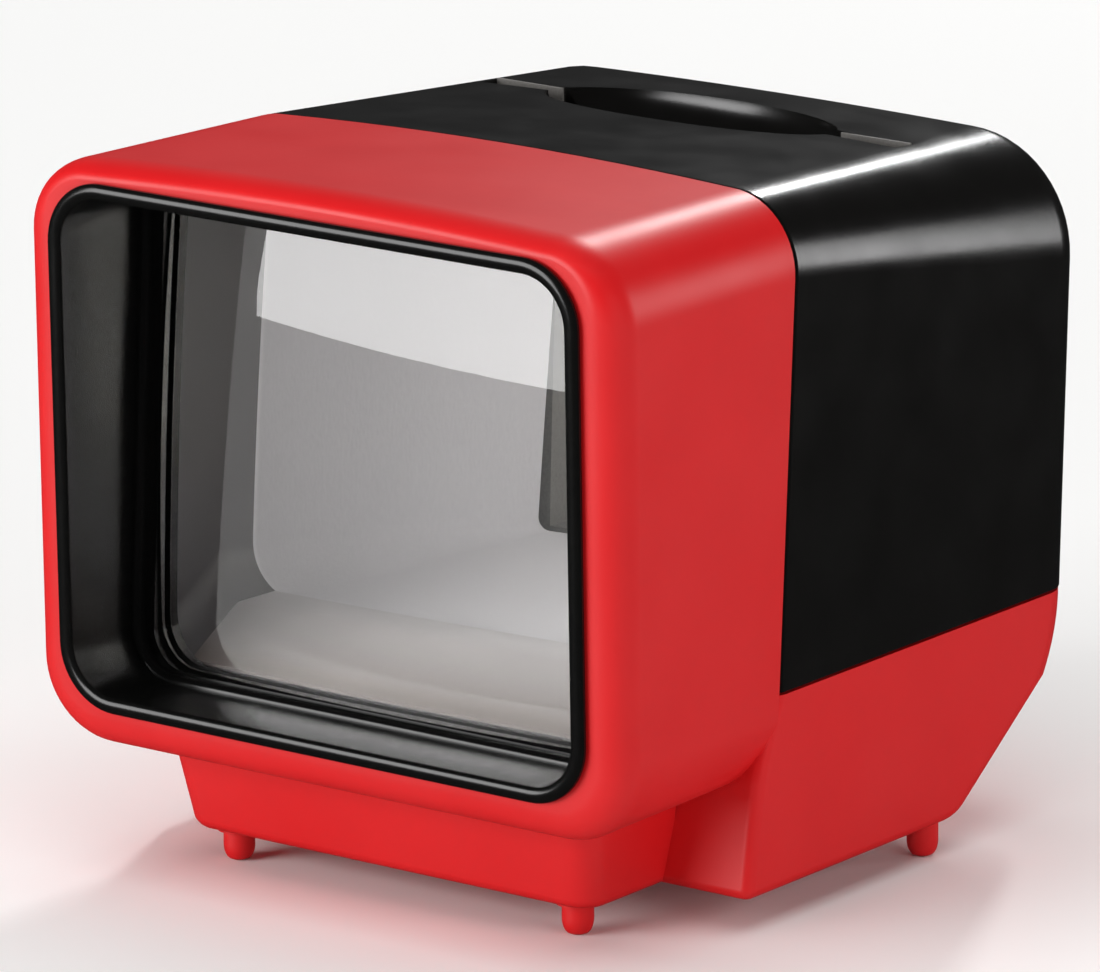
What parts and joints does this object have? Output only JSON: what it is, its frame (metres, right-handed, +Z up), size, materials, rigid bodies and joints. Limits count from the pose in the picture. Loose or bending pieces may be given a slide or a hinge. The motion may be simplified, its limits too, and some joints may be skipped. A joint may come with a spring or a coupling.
{
  "type": "slide viewer",
  "caption": "Battery slide viewer: red case with a hooded magnifying lens, black pull-off cover with a slide slot and finger scoop, sprung slide rest, lamp and cells.",
  "frame": {"origin": "under the middle of the viewer's width and depth, on the surface its feet stand on", "axes": "+X to the right as seen by a person who looks into the lens, +Y from the lens towards the rear cover, +Z up"},
  "size_m": [0.0734, 0.0832, 0.0745],
  "materials": {
    "red_plastic": "moulded red plastic, satin gloss",
    "black_plastic": "moulded black plastic, fine matte texture",
    "bezel_plastic": "moulded black plastic, satin",
    "clear_acrylic": "polished clear lens",
    "opal_plastic": "opal white plastic",
    "white_card": "white sheet, matte",
    "lamp_glass": "clear lamp glass",
    "brass": "plain brass",
    "spring_steel": "plated spring steel",
    "cell_sleeve": "plain blue cell sleeve without print",
    "lead_red": "red lead insulation",
    "lead_black": "black lead insulation"
  },
  "bodies": {
    "case": {"front_case": "red_plastic", "lens_bezel": "bezel_plastic", "magnifying_lens": "clear_acrylic", "lens_clip": "black_plastic", "slide_gate": "black_plastic", "gate_screw_left": "spring_steel", "gate_screw_right": "spring_steel", "switch_contact": "brass", "diffuser": "opal_plastic", "reflector": "white_card", "lamp_holder": "black_plastic", "lamp_cap": "brass", "lamp_bulb": "lamp_glass", "slide_presser_left": "spring_steel", "slide_presser_right": "spring_steel", "return_spring_left": "spring_steel", "return_spring_right": "spring_steel", "cell_lid": "black_plastic", "cell_front": "cell_sleeve", "cell_rear": "cell_sleeve", "cell_spring_front": "spring_steel", "cell_spring_rear": "spring_steel", "bridge_plate": "spring_steel", "lamp_plate": "spring_steel", "switch_plate": "spring_steel", "lamp_lead": "lead_red", "switch_lead": "lead_black"},
    "cover": {"rear_cover": "black_plastic"},
    "rest": {"slide_rest": "opal_plastic"},
    "leaf": {"switch_leaf": "brass"}
  },
  "joints": [
    {"name": "cover_pull", "type": "slide", "parent": "case", "child": "cover", "axis": [0, 1, 0], "range_m": [0, 0.06]},
    {"name": "slide_rest_press", "type": "slide", "parent": "case", "child": "rest", "axis": [0, 0, -1], "range_m": [0, 0.0011], "stiffness_N_per_m": 400, "springref_m": -0.0015, "deforming": ["return_spring_left", "return_spring_right"]},
    {"name": "switch_leaf_bend", "type": "hinge", "parent": "case", "child": "leaf", "pos_m": [0.0152, 0.0224, 0.0135], "axis": [0, -1, 0], "range_deg": [0, 4.4], "stiffness_Nm_per_rad": 0.01}
  ],
  "couplings": [
    {"joint": "switch_leaf_bend", "follows": "slide_rest_press", "rad_per_m": 65.8}
  ]
}
